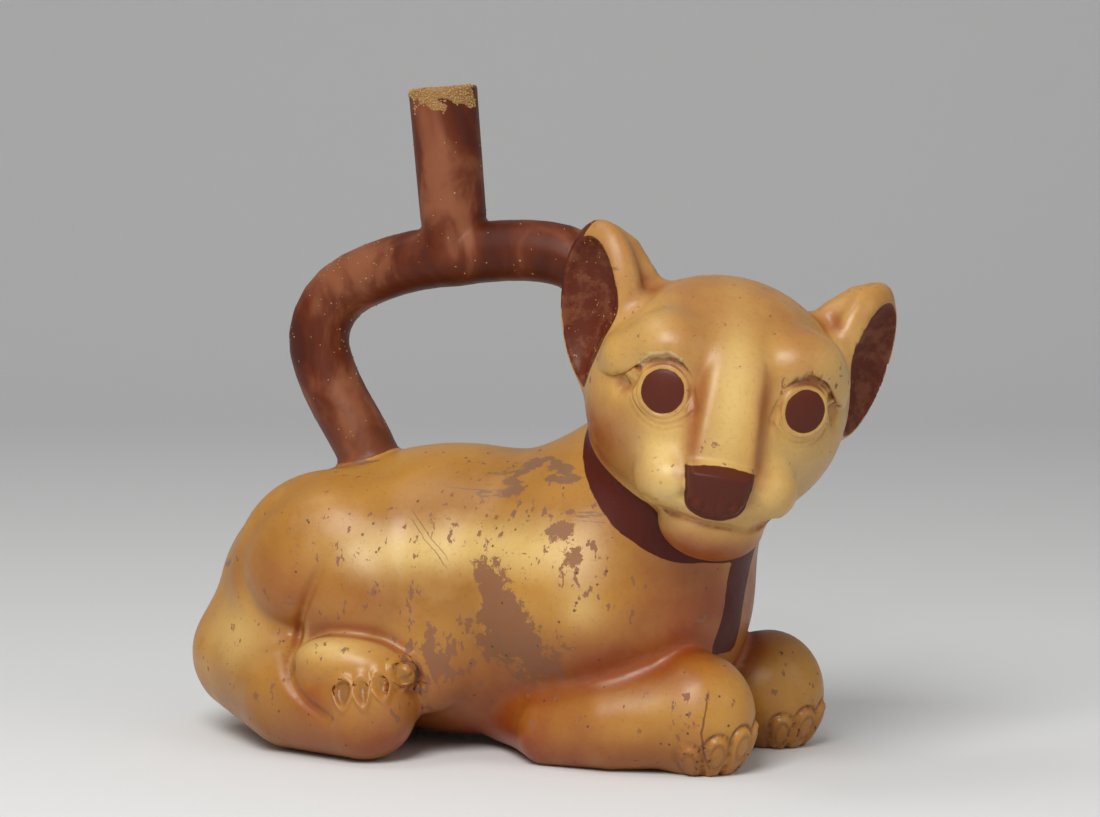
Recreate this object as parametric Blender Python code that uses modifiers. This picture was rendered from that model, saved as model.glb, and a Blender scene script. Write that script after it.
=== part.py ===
"""Stirrup spout vessel: a hollow clay dog lying down, with a stirrup handle and an upright spout.

Lengths are metres. X runs to the animal's front, Y to its left and Z up; the floor is z = 0 and the stirrup
stands in the plane y = 0. The clay form is worked out in millimetres by distance functions: each takes an
array of points and returns how far outside the clay each point lies.
"""

import math

import bpy
import numpy as np

# Sizes of the pot, in metres
FIGURE_LENGTH = 0.2165  # rump to forepaws
WALL = 0.005
TUBE_RADIUS = 0.0104
BORE_RADIUS = 0.0068
SPOUT_RADIUS = 0.0117
SPOUT_HEIGHT = 0.2235
SPOUT_LEAN = math.radians(5.0)

# Fineness of the finished facets
OUTER_TRIANGLES = 7600
CAVITY_TRIANGLES = 900
BORE_SIDES = 14
SPOUT_SIDES = 28

# The figure was laid out 216.5 mm long, so this turns a laid-out millimetre into metres
MM = FIGURE_LENGTH / 216.5
WALL_MM = WALL / MM
TUBE_MM = TUBE_RADIUS / MM
BORE_MM = BORE_RADIUS / MM
SPOUT_MM = SPOUT_RADIUS / MM
RIM_MM = SPOUT_HEIGHT / MM


# Joining and measuring forms
def smin(a, b, blend):
    """Union of two forms with a fillet about as wide as blend."""
    h = np.clip(0.5 + 0.5 * (b - a) / blend, 0, 1)
    return b * (1 - h) + a * h - blend * h * (1 - h)


def smax(a, b, blend):
    """Common part of two forms with a rounded edge."""
    return -smin(-a, -b, blend)


def turn(yaw, pitch=0.0, roll=0.0):
    """Matrix whose columns are axes turned by roll about X, then pitch about Y, then yaw about Z, in degrees."""
    (cz, cy, cx), (sz, sy, sx) = (f(np.radians([yaw, pitch, roll])) for f in (np.cos, np.sin))
    about_z = np.array([[cz, -sz, 0], [sz, cz, 0], [0, 0, 1]])
    about_y = np.array([[cy, 0, sy], [0, 1, 0], [-sy, 0, cy]])
    about_x = np.array([[1, 0, 0], [0, cx, -sx], [0, sx, cx]])
    return about_z @ about_y @ about_x


def ball(p, centre, radii, axes=None):
    """Ellipsoid with three radii."""
    q = p - np.asarray(centre, float)
    if axes is not None:
        q = q @ axes
    near = np.linalg.norm(q / radii, axis=1)
    steep = np.linalg.norm(q / np.square(radii), axis=1)
    return near * (near - 1) / np.maximum(steep, 1e-6)


def limb(p, path, radii):
    """Rounded rod along a path, with a radius at each point of it."""
    path = np.asarray(path, float)
    best = np.full(len(p), np.inf)
    for a, b, ra, rb in zip(path[:-1], path[1:], radii[:-1], radii[1:]):
        along = b - a
        t = np.clip((p - a) @ along / (along @ along), 0, 1)
        gap = np.linalg.norm(p - a - t[:, None] * along, axis=1) - (ra + t * (rb - ra))
        best = np.minimum(best, gap)
    return best


def smooth_path(points, between):
    """Smooth curve through points, with a number of steps between neighbours."""
    points = np.asarray(points, float)
    ends = [2 * points[0] - points[1], *points, 2 * points[-1] - points[-2]]
    out = []
    for a, b, c, d in zip(ends[:-3], ends[1:-2], ends[2:-1], ends[3:]):
        for t in np.arange(between) / between:
            out.append(0.5 * (2 * b + (c - a) * t + (2 * a - 5 * b + 4 * c - d) * t**2
                              + (3 * b - a - 3 * c + d) * t**3))
    return np.array([*out, points[-1]])


def ramp(x, low, high):
    """0 below low, 1 above high and smooth between."""
    t = np.clip((x - low) / (high - low), 0, 1)
    return t * t * (3 - 2 * t)


def ridge(distance, width):
    """1 on a line, fading out over a width."""
    return np.exp(-np.square(distance / width))


def stroke(u, v, points):
    """Distance in a plane to a line drawn through points."""
    return limb(np.stack([u, v], 1), points, [0.0] * len(points))


# Body: chest, barrel and rump, with the neck rising to a head turned to the animal's right
CHEST = (26, 0, 57), (45, 46, 50)
BARREL = (-32, 0, 52), (68, 45, 50)
RUMP = (-77, -2, 46), (43, 42, 43)
SHOULDER = (16, 28, 58), (26, 22, 26)
NECK_PATH, NECK_RADII = [(30, -2, 75), (60, -11, 106)], [34, 32]
HEAD_CENTRE = np.array([68.0, -16.5, 121.0])
HEAD_AXES = turn(-64, 3, -8.5)
SKULL = (0, -2.5, 0), (42.5, 43, 41)

# Flat pad under the belly that the pot stands on between its legs
PAD = (10, 2, 22), (36, 30, 26)

# Legs, given for the near side
THIGH = (-68, -28, 63), (34, 24, 31)
SHIN = (-52, -42, 52), (16, 10, 18)
BASE_PATH, BASE_RADII = [(-104, -14, 28), (-76, -40, 20), (-46, -50, 17)], [22.7, 20, 17]
FOOT = (-50, -54, 32), (20, 12, 9.5)
FORELEG_PATH, FORELEG_RADII = [(-10, -12, 10), (14, -33, 11), (36, -34, 15), (62, -28, 19)], [7, 12, 15.5, 18]
PAW = (64.5, -28, 18), (18, 16.5, 21)
FAR_PAW_AHEAD = 5.5

# Stirrup, from the rump up and over to the shoulders, and the spout on it
ARCH = [(-63, 0, 86), (-70, 0, 101), (-82, 0, 121), (-86.5, 0, 138), (-78, 0, 153), (-57, 0, 162.5),
        (-34, 0, 166.5), (-8, 0, 168.5), (10, 0, 165), (22, 0, 153), (27, 0, 136), (29, 0, 116), (31, 0, 86)]
ARCH_PATH = smooth_path(ARCH, 3)
SPOUT_FOOT = np.array([-34.8, 0, 171])
SPOUT_WAY = np.array([-math.sin(SPOUT_LEAN), 0, math.cos(SPOUT_LEAN)])
SPOUT_REACH = (RIM_MM - SPOUT_FOOT[2]) / SPOUT_WAY[2]
RIM = SPOUT_FOOT + SPOUT_WAY * SPOUT_REACH
STUB, STUB_DRAWN_IN = 8.0, 1.5


def other_side(p, ahead=0.0):
    """Points mirrored to the near side and drawn back, so a far limb takes the near limb's sizes."""
    return (p - (ahead, 0, 0)) * (1, -1, 1)


def stirrup(p):
    """Stirrup with the stub, inside the spout's foot, that fillets the two together."""
    arch = limb(p, ARCH_PATH, [TUBE_MM] * len(ARCH_PATH))
    stub = limb(p, [SPOUT_FOOT, SPOUT_FOOT + SPOUT_WAY * STUB], [SPOUT_MM - STUB_DRAWN_IN] * 2)
    return smin(arch, stub, 4)


def trunk(p):
    """Body, neck and legs without their carving."""
    f = smin(ball(p, *CHEST), ball(p, *BARREL), 18)
    f = smin(f, ball(p, *RUMP), 14)
    for q in (other_side(p), p):
        f = smin(f, ball(q, *SHOULDER), 12)
    f = smin(f, limb(p, NECK_PATH, NECK_RADII), 14)
    f = smin(f, ball(p, *PAD), 8)
    for hind, q in ((p, p), (other_side(p), other_side(p, FAR_PAW_AHEAD))):
        f = smin(f, limb(hind, BASE_PATH, BASE_RADII), 4)
        f = smin(f, ball(hind, *THIGH), 3)
        f = smin(f, limb(q, FORELEG_PATH, FORELEG_RADII), 7)
        f = smin(f, ball(q, *PAW), 4)
    return f


# Carving of the near hind leg
GROOVE = [(-59.5, 69), (-62, 63.4), (-66.7, 54.4), (-71.5, 44.4), (-72, 37), (-69, 28), (-62.5, 21.3), (-55, 17)]
HIND_TOES = [(-48, -64.5, 26.5), (-41, -64, 27.5), (-35, -61.5, 28.5), (-30.5, -56, 31)]


def hind_carving(p, f):
    """Shin, the groove behind it, and the foot with its toes, on the near flank only."""
    x, y, z = p.T
    near = ramp(-y, 20, 32)
    f = smin(f, ball(p, *SHIN), 5)
    f = smin(f, ball(p, *FOOT, turn(10, 6)), 2)
    for tx, ty, tz in HIND_TOES:
        path = [(tx - 1, ty + 5, tz + 3), (tx, ty, tz), (tx + 1.6, ty + 1.2, tz - 6)]
        f = smin(f, limb(p, path, [3.6, 3.7, 2.4]), 0.8)
    return f + near * 2.0 * ramp(70 - z, 0, 10) * ridge(stroke(x, z, GROOVE), 1.7)


# Toes of the forepaws: bearing of each toe round the paw, in degrees from the animal's front
NEAR_TOES = (-80, -46, -12, 24)
FAR_TOES = (52, 22, -8, -40)
TOE_RING = 13.2


def toes(p, f):
    """Four short toes round the front of each forepaw, each ending in a claw at the floor."""
    for q, bearings in ((p, NEAR_TOES), (other_side(p, FAR_PAW_AHEAD), FAR_TOES)):
        for bearing in np.radians(bearings):
            way = np.array([math.cos(bearing), math.sin(bearing), 0])
            foot = np.array([PAW[0][0], PAW[0][1], 0]) + way * TOE_RING
            path = [foot - way * 2 + (0, 0, 15), foot + way * 1.8 + (0, 0, 9), foot + way * 1.2 + (0, 0, 3)]
            f = smin(f, limb(q, path, [4.8, 5.2, 3.6]), 0.9)
    return f


# Face, in the head's own millimetres: x out of the face, y to the picture's right and z up
MUZZLE_MID = -3.4
NOSE_MID = -4.4
EYE_MID = -1.7
EYE_OUT, EYE_UP, EYE_APART = 36.0, 4.8, 22.8
EYE_TURN = 20
PUPIL_RADIUS = 6.9
LID_ALONG = [-16, -12.6, -9.5, -5, -0.5, 5.5, 10, 14, 19]
LID_HEIGHT = [-6, -1.6, 4.4, 9.8, 11.6, 9.8, 6.0, 2.6, 0.4]


def muzzle(q):
    """Cheeks, jaw, lip and whisker pads."""
    f = smin(ball(q, *SKULL), ball(q, (26, MUZZLE_MID, -15), (28, 25, 18)), 10)
    f = smin(f, ball(q, (30.5, MUZZLE_MID + 1.5, -37), (18, 17, 11.5)), 3)
    for side in (-1, 1):
        f = smin(f, ball(q, (37, MUZZLE_MID + side * 14.5, -21.5), (14, 12, 11.5)), 4)
    return smin(f, ball(q, (42, MUZZLE_MID, -27), (13, 14, 7)), 3)


def bridge(q):
    """Flat-topped bar from the forehead down to the nose."""
    x, y, z = q.T
    half = 8.8 + (17 - z) * 0.05
    centre = MUZZLE_MID + 0.8 - (17 - z) * 0.03
    top = (x - 41.5) * 0.964 + (z - 22) * 0.265
    f = smax(top, (np.abs(y - centre) - half) * 0.8, 4)
    f = smax(smax(f, z - 34, 14), 12 - x, 2)
    return smax(f, -z - 22, 3)


def eye_and_brow(q, f, side):
    """Round eye with a raised rim and lower lid, under a brow whose edge overhangs it."""
    e = (q - (EYE_OUT, EYE_MID + side * EYE_APART, EYE_UP)) @ turn(side * EYE_TURN)
    out, along, up = e[:, 0], e[:, 1] * side, e[:, 2]
    radius = np.hypot(along, up)
    lid = (np.interp(along, LID_ALONG, LID_HEIGHT) - up) * 0.75
    brow = ball(q, (23, EYE_MID + side * 22.5, 18.5), (13.5, 16.5, 12.5), turn(side * 32, 0, side * 4))
    browed = smax(smin(f, brow, 6), lid - 0.2, 1)
    f = smax(f, -ball(e, (8.5, -1, -0.5), (9.5, 12.5, 10.5)), 2.5)
    f = smin(f, ball(e, (-9.5, 0, 0), (12.2, 12.5, 12.5)), 0.8)
    front = ramp(out, -9, -5)
    lower = np.hypot(along, up - 0.4)
    under = ramp(lid, 1, 3)
    f = f - front * 0.9 * ridge(radius - PUPIL_RADIUS - 1.2, 0.8)
    f = f - front * under * 1.0 * ridge(lower - 9.9, 0.8)
    f = f + front * under * 0.8 * ridge(lower - 11.6, 0.8)
    return smin(f, browed, 0.5)


def nose(q, f):
    """Nose with a sloping top, a flat front, two nostrils and a groove between them."""
    x, y, z = q[:, 0], q[:, 1] - NOSE_MID, q[:, 2]
    pad = (x - 54) * 0.5 + (z + 16.2) * 0.866
    pad = smax(pad, (x - 57) * 0.985 - (z + 24) * 0.17, 1.2)
    pad = smax(pad, -(z + 31.6) * 0.9 - (x - 55) * 0.25 + 0.03 * y * y, 2.5)
    pad = smax(pad, np.abs(y) - 9.9, 2.4)
    f = smin(f, smax(pad, 42 - x, 1), 0.6)
    front = ramp(x, 50, 54)
    for side in (-1, 1):
        hole = np.hypot(y - side * 5.6, z + 25.6)
        f = f + front * (1.0 * ridge(hole, 1.3) - 0.5 * ridge(hole - 2.3, 0.7))
    return f + front * 0.5 * ridge(y, 0.6) * ramp(-z, 20, 22)


def mouth(q, f):
    """Closed mouth line between the lips."""
    x, y, z = q.T
    line = [(-22, -29.5), (-13, -32.6), (0, -34.2), (13, -33.2), (21, -29.5)]
    drawn = stroke(y - MUZZLE_MID, z, line)
    return f + ramp(x, 18, 26) * 1.5 * ridge(drawn, 1.1)


EAR_TURN, EAR_SPREAD = 52, 9
NEAR_EAR = (-7, -43.5, 23.5), (9, 17.5, 29.5)
FAR_EAR = (-9, 42.5, 17.5), (9, 17.5, 27.5)


def ears(q, f):
    """Upright cupped ears, open to the front and side."""
    for side, (root, radii) in ((-1, NEAR_EAR), (1, FAR_EAR)):
        e = (q - root) @ turn(0, 0, -side * EAR_SPREAD) @ turn(side * EAR_TURN)
        cup = ball(e, (8.5, side, -1), (11.5, radii[1] - 2.2, radii[2] - 2.4))
        f = smin(f, smax(ball(e, (0, 0, 0), radii), -cup, 1), 4)
    return f


def head(p, carved=True):
    """Head, with or without its eyes, nose, mouth and ears."""
    q = (p - HEAD_CENTRE) @ HEAD_AXES
    f = smin(muzzle(q), bridge(q), 5)
    if carved:
        for side in (-1, 1):
            f = eye_and_brow(q, f, side)
        f = ears(q, mouth(q, nose(q, f)))
    return f


def pot(p):
    """Whole outside of the pot but for the spout above its stub."""
    f = toes(p, hind_carving(p, trunk(p)))
    f = smin(f, head(p), 5)
    f = smin(f, stirrup(p), 2.5)
    return np.maximum(f, -p[:, 2])


def cavity(p):
    """Inside of the animal: its uncarved form drawn in by the wall."""
    f = smin(trunk(p), head(p, carved=False), 5)
    return smax(f, -p[:, 2], 6) + WALL_MM


# Shaping meshes
def mesh_object(name, collection, verts, faces):
    """New object from lists of points and faces."""
    mesh = bpy.data.meshes.new(name)
    mesh.from_pydata(verts, [], faces)
    mesh.update()
    obj = bpy.data.objects.new(name, mesh)
    collection.objects.link(obj)
    return obj


def tube(name, collection, path, radii, sides):
    """Capped round rod along a path in the plane y = 0."""
    path = np.asarray(path, float)
    along = np.gradient(path, axis=0)
    along /= np.linalg.norm(along, axis=1)[:, None]
    across = np.stack([along[:, 2], 0 * along[:, 2], -along[:, 0]], 1)
    angle = np.linspace(0, 2 * np.pi, sides, endpoint=False)[:, None]
    verts = [point + radius * (np.cos(angle) * way + np.sin(angle) * (0, 1, 0))
             for point, way, radius in zip(path, across, radii)]
    faces = []
    for first in range(0, (len(path) - 1) * sides, sides):
        for i in range(sides):
            j = (i + 1) % sides
            faces.append((first + i, first + j, first + sides + j, first + sides + i))
    last = (len(path) - 1) * sides
    faces.append(tuple(reversed(range(sides))))
    faces.append(tuple(range(last, last + sides)))
    return mesh_object(name, collection, np.vstack(verts), faces)


def bake(obj):
    """Replace an object's mesh by what its modifiers make of it."""
    graph = bpy.context.evaluated_depsgraph_get()
    graph.update()
    new = bpy.data.meshes.new_from_object(obj.evaluated_get(graph))
    old = obj.data
    obj.modifiers.clear()
    obj.data = new
    bpy.data.meshes.remove(old)
    return obj


def sampled(form, low, pitch, counts, coarse=4):
    """Form's values on a grid; far from the skin only the sign is kept."""
    blocks = counts // coarse
    middles = [low[k] + pitch * coarse * (np.arange(blocks[k]) + 0.5) for k in range(3)]
    points = np.stack(np.meshgrid(*middles, indexing="ij"), -1).reshape(-1, 3)
    rough = form(points).reshape(blocks)
    values = np.where(rough < 0, -1e3, 1e3)
    for axis in range(3):
        values = np.repeat(values, coarse, axis)
    values = np.pad(values, ((0, 1),) * 3, mode="edge")
    close = np.argwhere(np.abs(rough) < pitch * coarse * 1.9)
    offsets = np.stack(np.meshgrid(*[np.arange(coarse + 1)] * 3, indexing="ij"), -1).reshape(-1, 3)
    for part in np.array_split(close, len(close) // 3000 + 1):
        cell = (part[:, None, :] * coarse + offsets).reshape(-1, 3)
        values[tuple(cell.T)] = form(low + cell * pitch)
    return values


def skin(form, low, high, pitch):
    """Points and four-sided facets where a form's value passes through nothing, one point to each cut cell."""
    low = np.asarray(low, float)
    counts = (np.ceil((high - low) / pitch / 4).astype(int) + 1) * 4
    values = sampled(form, low, pitch, counts)
    inside = values < 0
    cells = [slice(0, n) for n in counts]
    cut = np.zeros(counts, bool)
    for corner in np.ndindex(2, 2, 2):
        shifted = tuple(slice(c, c + n) for c, n in zip(corner, counts))
        cut |= inside[shifted] != inside[tuple(cells)]
    where = np.argwhere(cut)
    number = np.full(counts, -1)
    number[cut] = np.arange(len(where))
    total, crossings = np.zeros((len(where), 3)), np.zeros(len(where))
    for axis, u, v in ((a, u, v) for a in range(3) for u in (0, 1) for v in (0, 1)):
        start = np.zeros(3, int)
        start[(axis + 1) % 3], start[(axis + 2) % 3] = u, v
        end = start + np.eye(3, dtype=int)[axis]
        f0, f1 = (values[tuple((where + corner).T)] for corner in (start, end))
        crossed = (f0 < 0) != (f1 < 0)
        share = np.where(crossed, f0 / np.where(crossed, f0 - f1, 1), 0)
        total += crossed[:, None] * (start + share[:, None] * np.eye(3)[axis])
        crossings += crossed
    points = low + (where + total / crossings[:, None]) * pitch
    facets = []
    for axis in range(3):
        u, v = np.eye(3, dtype=int)[[(axis + 1) % 3, (axis + 2) % 3]]
        here = [slice(1, -1)] * 3
        beyond = [slice(1, -1)] * 3
        here[axis], beyond[axis] = slice(0, -1), slice(1, None)
        edge = np.argwhere(inside[tuple(here)] != inside[tuple(beyond)]) + u + v
        around = [number[tuple((edge + shift).T)] for shift in (-u - v, -v, 0 * u, -u)]
        facet = np.stack(around, 1)
        outward = inside[tuple(edge.T)][:, None]
        facets.append(np.where(outward, facet, facet[:, ::-1]))
    return points, np.vstack(facets)


def remesh(obj, size):
    """One closed skin of even facets round everything in an object."""
    skin = obj.modifiers.new("skin", "REMESH")
    skin.mode = "VOXEL"
    skin.voxel_size = size
    return bake(obj)


def settle(obj, form, rounds, reach):
    """Move an object's points onto a form along its slope, at most reach at a time."""
    mesh = obj.data
    p = np.empty(len(mesh.vertices) * 3)
    mesh.vertices.foreach_get("co", p)
    p = p.reshape(-1, 3)
    small = 0.05
    for _ in range(rounds):
        value = form(p)
        slope = np.stack([form(p + step) - value for step in np.eye(3) * small], 1) / small
        size = np.maximum(np.linalg.norm(slope, axis=1), 0.3)
        move = np.clip(value / size, -reach, reach)
        p = p - slope / size[:, None] * move[:, None]
    mesh.vertices.foreach_set("co", p.ravel())
    mesh.update()
    return obj


def thin_out(obj, triangles):
    """Triangulate an object and thin it to about a number of triangles."""
    cut = obj.modifiers.new("triangles", "TRIANGULATE")
    cut.quad_method = "BEAUTY"
    bake(obj)
    fewer = obj.modifiers.new("fewer", "DECIMATE")
    fewer.ratio = triangles / len(obj.data.polygons)
    return bake(obj)


# Scene: a collection for the pot and one for what cuts it
for old in list(bpy.data.objects):
    bpy.data.objects.remove(old, do_unlink=True)
pot_parts = bpy.data.collections.new("stirrup_spout_vessel")
cutters = bpy.data.collections.new("cutters")
for group in (pot_parts, cutters):
    bpy.context.scene.collection.children.link(group)

# Outside of the pot, and the spout that joins it
SPACE = np.array([(-140.0, -85.0, -6.0), (118.0, 66.0, 200.0)])
vessel = mesh_object("vessel", pot_parts, *skin(pot, *SPACE, 1.6))
settle(remesh(vessel, 1.3), pot, 3, 0.6)
thin_out(vessel, OUTER_TRIANGLES)
spout = tube("spout", cutters, [SPOUT_FOOT, RIM], [SPOUT_MM] * 2, SPOUT_SIDES)

# Cavity, with the bore round the stirrup and up through the rim
hollow = mesh_object("hollow", cutters, *skin(cavity, *SPACE, 2.6))
settle(remesh(hollow, 2.2), cavity, 3, 0.8)
thin_out(hollow, CAVITY_TRIANGLES)
stirrup_bore = tube("stirrup_bore", cutters, ARCH_PATH, [BORE_MM] * len(ARCH_PATH), BORE_SIDES)
bore_path = [SPOUT_FOOT - SPOUT_WAY * 5, RIM + SPOUT_WAY * 5]
spout_bore = tube("spout_bore", cutters, bore_path, [BORE_MM] * 2, SPOUT_SIDES)

steps = [(spout, "UNION"), (hollow, "DIFFERENCE"), (stirrup_bore, "DIFFERENCE"), (spout_bore, "DIFFERENCE")]
for other, operation in steps:
    other.hide_render = True
    other.display_type = "WIRE"
    cut = vessel.modifiers.new(other.name, "BOOLEAN")
    cut.operation = operation
    cut.solver = "EXACT"
    cut.object = other
bake(vessel)

# From laid-out millimetres to metres
for obj in (vessel, spout, hollow, stirrup_bore, spout_bore):
    for vertex in obj.data.vertices:
        vertex.co *= MM
    obj.data.update()
vessel.data.shade_smooth()

clay = bpy.data.materials.new("burnished_slip")
clay.use_nodes = True
surface = clay.node_tree.nodes["Principled BSDF"]
surface.inputs["Base Color"].default_value = (0.50, 0.28, 0.10, 1)
surface.inputs["Roughness"].default_value = 0.38
vessel.data.materials.clear()
vessel.data.materials.append(clay)
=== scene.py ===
"""Stirrup spout vessel: a burnished clay dog lying down, with a painted collar, stirrup handle and spout."""

import math

import bmesh
import bpy
import numpy as np
from mathutils import Matrix, Vector


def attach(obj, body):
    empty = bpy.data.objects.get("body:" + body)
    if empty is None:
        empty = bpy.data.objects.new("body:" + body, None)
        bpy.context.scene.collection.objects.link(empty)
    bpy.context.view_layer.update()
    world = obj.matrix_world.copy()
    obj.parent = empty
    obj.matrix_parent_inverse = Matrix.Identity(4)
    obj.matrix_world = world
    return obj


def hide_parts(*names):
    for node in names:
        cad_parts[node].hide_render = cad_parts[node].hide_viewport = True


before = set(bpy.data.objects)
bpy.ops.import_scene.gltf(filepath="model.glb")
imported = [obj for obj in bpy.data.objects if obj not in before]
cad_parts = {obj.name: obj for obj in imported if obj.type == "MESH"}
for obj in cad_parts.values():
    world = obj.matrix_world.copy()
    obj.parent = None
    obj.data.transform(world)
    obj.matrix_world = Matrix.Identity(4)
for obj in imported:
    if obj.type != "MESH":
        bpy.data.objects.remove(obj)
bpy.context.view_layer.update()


# Vessel. The real one is a single thin-walled pot of fired clay, pressed in moulds and finished by hand, with
# face, ears, haunch and toes in low relief, then slipped in cream and ochre and burnished. Its form is worked
# out in millimetres by functions of distance, each of which says how far outside the clay a point lies.
TUBE_RADIUS = 10.4
SPOUT_RADIUS = 11.7
SPOUT_LEAN = math.radians(5.0)
RIM_HEIGHT = 223.5


def smin(a, b, blend):
    """Union of two forms with a fillet about as wide as blend."""
    h = np.clip(0.5 + 0.5 * (b - a) / blend, 0, 1)
    return b * (1 - h) + a * h - blend * h * (1 - h)


def smax(a, b, blend):
    """Common part of two forms with a rounded edge."""
    return -smin(-a, -b, blend)


def turn(yaw, pitch=0.0, roll=0.0):
    """Matrix of axes turned by roll about X, then pitch about Y, then yaw about Z, in degrees."""
    (cz, cy, cx), (sz, sy, sx) = (f(np.radians([yaw, pitch, roll])) for f in (np.cos, np.sin))
    about_z = np.array([[cz, -sz, 0], [sz, cz, 0], [0, 0, 1]])
    about_y = np.array([[cy, 0, sy], [0, 1, 0], [-sy, 0, cy]])
    about_x = np.array([[1, 0, 0], [0, cx, -sx], [0, sx, cx]])
    return about_z @ about_y @ about_x


def ball(p, centre, radii, axes=None):
    """Ellipsoid with three radii."""
    q = p - np.asarray(centre, float)
    if axes is not None:
        q = q @ axes
    near = np.linalg.norm(q / radii, axis=1)
    steep = np.linalg.norm(q / np.square(radii), axis=1)
    return near * (near - 1) / np.maximum(steep, 1e-6)


def limb(p, path, radii):
    """Rounded rod along a path, with a radius at each point of it."""
    path = np.asarray(path, float)
    best = np.full(len(p), np.inf)
    for a, b, ra, rb in zip(path[:-1], path[1:], radii[:-1], radii[1:]):
        along = b - a
        t = np.clip((p - a) @ along / (along @ along), 0, 1)
        gap = np.linalg.norm(p - a - t[:, None] * along, axis=1) - (ra + t * (rb - ra))
        best = np.minimum(best, gap)
    return best


def smooth_path(points, between):
    """Smooth curve through points, with a number of steps between neighbours."""
    points = np.asarray(points, float)
    ends = [2 * points[0] - points[1], *points, 2 * points[-1] - points[-2]]
    out = []
    for a, b, c, d in zip(ends[:-3], ends[1:-2], ends[2:-1], ends[3:]):
        for t in np.arange(between) / between:
            out.append(0.5 * (2 * b + (c - a) * t + (2 * a - 5 * b + 4 * c - d) * t**2
                              + (3 * b - a - 3 * c + d) * t**3))
    return np.array([*out, points[-1]])


def ramp(x, low, high):
    """0 below low, 1 above high and smooth between."""
    t = np.clip((x - low) / (high - low), 0, 1)
    return t * t * (3 - 2 * t)


def ridge(distance, width):
    """1 on a line, fading out over a width."""
    return np.exp(-np.square(distance / width))


def stroke(u, v, points):
    """Distance in a plane to a line drawn through points."""
    return limb(np.stack([u, v], 1), points, [0.0] * len(points))


def within(p, f, centre, reach, carve):
    """Form changed by carve at the points near a centre, and left as it is elsewhere."""
    near = np.linalg.norm(p - centre, axis=1) < reach
    f = f.copy()
    if near.any():
        f[near] = carve(p[near], f[near])
    return f


# Trunk and legs, with the neck rising to a head turned to the animal's right
CHEST = (26, 0, 57), (45, 46, 50)
BARREL = (-32, 0, 52), (68, 45, 50)
RUMP = (-77, -2, 46), (43, 42, 43)
SHOULDER = (16, 28, 58), (26, 22, 26)
ELBOW = (29, 29, 51), (18, 20.5, 19)
NECK_PATH, NECK_RADII = [(30, -2, 75), (60, -11, 106)], [34, 32]
PAD = (10, 2, 22), (36, 30, 26)
THIGH = (-68, -28, 63), (34, 24, 31)
SHIN = (-52, -42, 52), (16, 10, 18)
BASE_PATH, BASE_RADII = [(-104, -14, 28), (-76, -40, 20), (-46, -50, 17)], [22.7, 20, 17]
FLANK_FILL = (-33, -36, 33), (18, 11, 19)
FOOT = (-50, -52, 31.5), (20, 11.5, 10)
FORELEG_PATH, FORELEG_RADII = [(-10, -12, 10), (14, -33, 11), (36, -34, 15), (62, -28, 19)], [7, 12, 15.5, 18]
PAW = (64.5, -28, 18), (18, 16.5, 21)
FAR_PAW_AHEAD = 5.5


def other_side(p, ahead=0.0):
    """Points mirrored to the near side and drawn back, so a far limb takes the near limb's sizes."""
    return (p - (ahead, 0, 0)) * (1, -1, 1)


def trunk(p):
    """Body, neck and legs without their carving."""
    f = smin(ball(p, *CHEST), ball(p, *BARREL), 18)
    f = smin(f, ball(p, *RUMP), 14)
    for q in (other_side(p), p):
        f = smin(smin(f, ball(q, *SHOULDER), 12), ball(q, *ELBOW), 10)
    f = smin(f, limb(p, NECK_PATH, NECK_RADII), 14)
    f = smin(f, ball(p, *PAD), 8)
    for hind, q in ((p, p), (other_side(p), other_side(p, FAR_PAW_AHEAD))):
        f = smin(f, limb(hind, BASE_PATH, BASE_RADII), 8)
        f = smin(f, ball(hind, *THIGH), 9)
        f = smin(f, limb(q, FORELEG_PATH, FORELEG_RADII), 7)
        f = smin(f, ball(q, *PAW), 4)
    return f


GROOVE = smooth_path([(-58.5, 70), (-62, 63.4), (-66.7, 54.4), (-71.5, 44.4), (-72.5, 37), (-70, 28),
                      (-62.5, 20.5), (-53, 16)], 3)
HAUNCH = smooth_path([(-74, 41), (-86, 45), (-95.5, 55), (-96, 66), (-88, 79), (-76, 88.5), (-61, 91.5),
                      (-46, 86), (-38.5, 76), (-36.5, 62), (-40, 50)], 3)
HIND_CLAWS = [((-47.4, 24.2), 10, 3.5, 5.2), ((-40.8, 25.0), 16, 2.5, 5.2), ((-35.4, 26.8), 18, 2.3, 4.8),
              ((-29.8, 29.6), 26, 2.9, 5.8)]


def claws(x, z):
    """Distance inside the nearest claw of the hind foot, each a leaf shape that leans forward at its tip."""
    best = np.full(len(x), -20.0)
    for (cx, cz), lean, wide, long in HIND_CLAWS:
        a = math.radians(lean)
        down = ((x - cx) * math.sin(a) - (z - cz) * math.cos(a)) / long
        across = ((x - cx) * math.cos(a) + (z - cz) * math.sin(a)) / wide
        across = across / (1 - 0.4 * np.clip(down, -0.3, 1))
        best = np.maximum(best, (1 - np.hypot(across, down)) * wide)
    return best


def hind_carving(p, f):
    """Haunch, shin, the groove behind it, and the foot with its claws, on the near flank only."""
    x, y, z = p.T
    near = ramp(-y, 20, 32)
    haunch = stroke(x, z, HAUNCH)
    f = f + near * (1.8 - 1.5 * ramp(x, -74, -48)) * ridge(haunch, 4.0)
    f = smin(smin(f, ball(p, *SHIN), 5), ball(p, *FLANK_FILL), 6)
    foot = smax(ball(p, *FOOT, turn(8, 6)), limb(p, [(-54, -40, 29), (-36, -40, 31)], [24.5, 22.5]), 2)
    f = smin(f, foot, 3)
    f = f + near * 1.7 * ramp(72 - z, 0, 16) * ridge(stroke(x, z, GROOVE), 2.1)
    inside_claw = claws(x, z)
    return f - near * 0.9 * ridge(inside_claw, 0.9) + near * 0.9 * ramp(inside_claw, 0.5, 1.7)


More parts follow.
